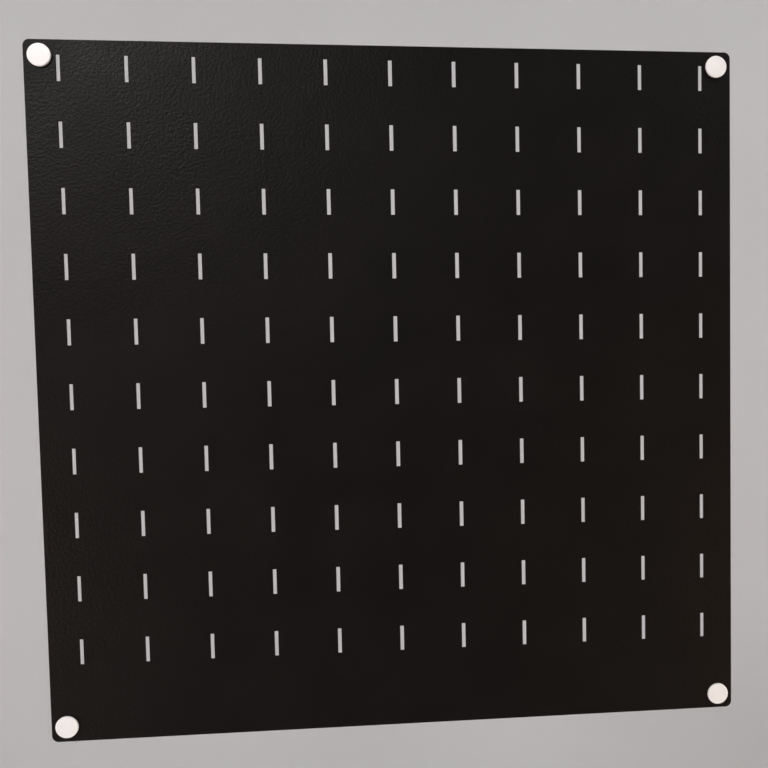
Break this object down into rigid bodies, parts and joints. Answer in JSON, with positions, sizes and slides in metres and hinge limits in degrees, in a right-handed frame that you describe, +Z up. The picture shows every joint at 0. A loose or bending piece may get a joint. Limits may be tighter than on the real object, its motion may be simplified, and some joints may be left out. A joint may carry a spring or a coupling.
{
  "type": "slotted wall display panel",
  "caption": "Nearly square black steel sheet pierced by a grid of narrow upright slots for display hooks, held off a wall by corner standoffs with round white screw-on caps.",
  "frame": {"origin": "on the wall plane, at the centre of the four wall screws", "axes": "+X to the right for someone who faces the panel, +Y out of the back of the panel into the wall, +Z up"},
  "size_m": [0.6096, 0.0325, 0.6008],
  "materials": {
    "panel_black": "black powder coat, semi-gloss with a fine orange peel",
    "cap_white": "white moulded plastic, satin gloss",
    "barrel_aluminium": "turned and satin anodised",
    "washer_nylon": "natural nylon, slightly milky",
    "stud_steel": "bright zinc plate",
    "screw_steel": "zinc plate with a faint yellow cast"
  },
  "bodies": {
    "panel": {"slotted_panel": "panel_black", "barrel_top_left": "barrel_aluminium", "rear_washer_top_left": "washer_nylon", "wall_screw_top_left": "screw_steel", "barrel_top_right": "barrel_aluminium", "rear_washer_top_right": "washer_nylon", "wall_screw_top_right": "screw_steel", "barrel_bottom_left": "barrel_aluminium", "rear_washer_bottom_left": "washer_nylon", "wall_screw_bottom_left": "screw_steel", "barrel_bottom_right": "barrel_aluminium", "rear_washer_bottom_right": "washer_nylon", "wall_screw_bottom_right": "screw_steel"},
    "washer_top_left": {"front_washer_top_left": "washer_nylon"},
    "cap_top_left": {"cap_top_left": "cap_white", "cap_stud_top_left": "stud_steel"},
    "washer_top_right": {"front_washer_top_right": "washer_nylon"},
    "cap_top_right": {"cap_top_right": "cap_white", "cap_stud_top_right": "stud_steel"},
    "washer_bottom_left": {"front_washer_bottom_left": "washer_nylon"},
    "cap_bottom_left": {"cap_bottom_left": "cap_white", "cap_stud_bottom_left": "stud_steel"},
    "washer_bottom_right": {"front_washer_bottom_right": "washer_nylon"},
    "cap_bottom_right": {"cap_bottom_right": "cap_white", "cap_stud_bottom_right": "stud_steel"}
  },
  "joints": [
    {"name": "cap_travel_top_left", "type": "slide", "parent": "panel", "child": "washer_top_left", "axis": [0, -1, 0], "range_m": [0, 0.0075]},
    {"name": "cap_turn_top_left", "type": "hinge", "parent": "washer_top_left", "child": "cap_top_left", "pos_m": [-0.2913, -0.0178, 0.2869], "axis": [0, -1, 0], "range_deg": [0, 2160]},
    {"name": "cap_travel_top_right", "type": "slide", "parent": "panel", "child": "washer_top_right", "axis": [0, -1, 0], "range_m": [0, 0.0075]},
    {"name": "cap_turn_top_right", "type": "hinge", "parent": "washer_top_right", "child": "cap_top_right", "pos_m": [0.2913, -0.0178, 0.2869], "axis": [0, -1, 0], "range_deg": [0, 2160]},
    {"name": "cap_travel_bottom_left", "type": "slide", "parent": "panel", "child": "washer_bottom_left", "axis": [0, -1, 0], "range_m": [0, 0.0075]},
    {"name": "cap_turn_bottom_left", "type": "hinge", "parent": "washer_bottom_left", "child": "cap_bottom_left", "pos_m": [-0.2913, -0.0178, -0.2869], "axis": [0, -1, 0], "range_deg": [0, 2160]},
    {"name": "cap_travel_bottom_right", "type": "slide", "parent": "panel", "child": "washer_bottom_right", "axis": [0, -1, 0], "range_m": [0, 0.0075]},
    {"name": "cap_turn_bottom_right", "type": "hinge", "parent": "washer_bottom_right", "child": "cap_bottom_right", "pos_m": [0.2913, -0.0178, -0.2869], "axis": [0, -1, 0], "range_deg": [0, 2160]}
  ],
  "couplings": [
    {"joint": "cap_turn_top_left", "follows": "cap_travel_top_left", "rad_per_m": 5026.5},
    {"joint": "cap_turn_top_right", "follows": "cap_travel_top_right", "rad_per_m": 5026.5},
    {"joint": "cap_turn_bottom_left", "follows": "cap_travel_bottom_left", "rad_per_m": 5026.5},
    {"joint": "cap_turn_bottom_right", "follows": "cap_travel_bottom_right", "rad_per_m": 5026.5}
  ]
}
